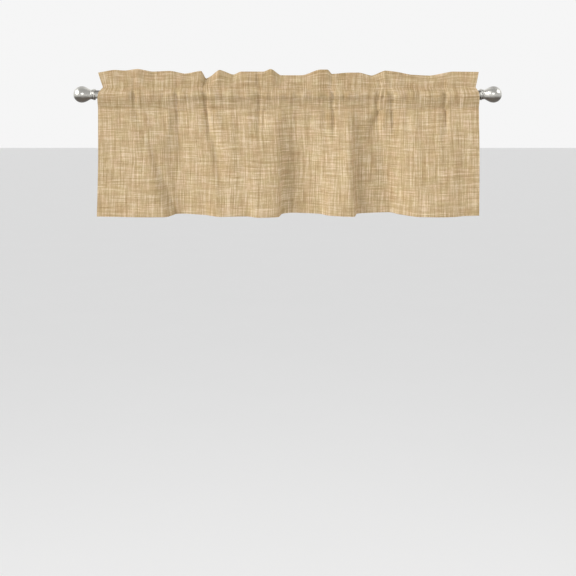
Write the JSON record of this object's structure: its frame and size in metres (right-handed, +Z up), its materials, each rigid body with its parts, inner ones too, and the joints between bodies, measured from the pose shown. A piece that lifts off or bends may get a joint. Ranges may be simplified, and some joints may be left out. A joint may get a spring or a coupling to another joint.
{
  "type": "rod pocket valance on a curtain rod",
  "caption": "Straight woven-cloth valance gathered along its rod pocket under a ruffled header, hanging on a round curtain rod with turned ball finials.",
  "frame": {"origin": "on the rod's axis, half way between the finials, where the wall brackets hold it", "axes": "+X along the rod, to the right seen from the room; the cloth's front faces -Y and the wall is towards +Y; +Z up"},
  "size_m": [1.327, 0.0508, 0.459],
  "materials": {
    "woven_cloth": "matte, loosely woven, with slubs",
    "satin_nickel": "satin nickel plate"
  },
  "bodies": {
    "root": {"valance": "woven_cloth", "rod": "satin_nickel", "finial_left": "satin_nickel", "finial_right": "satin_nickel"}
  },
  "joints": []
}
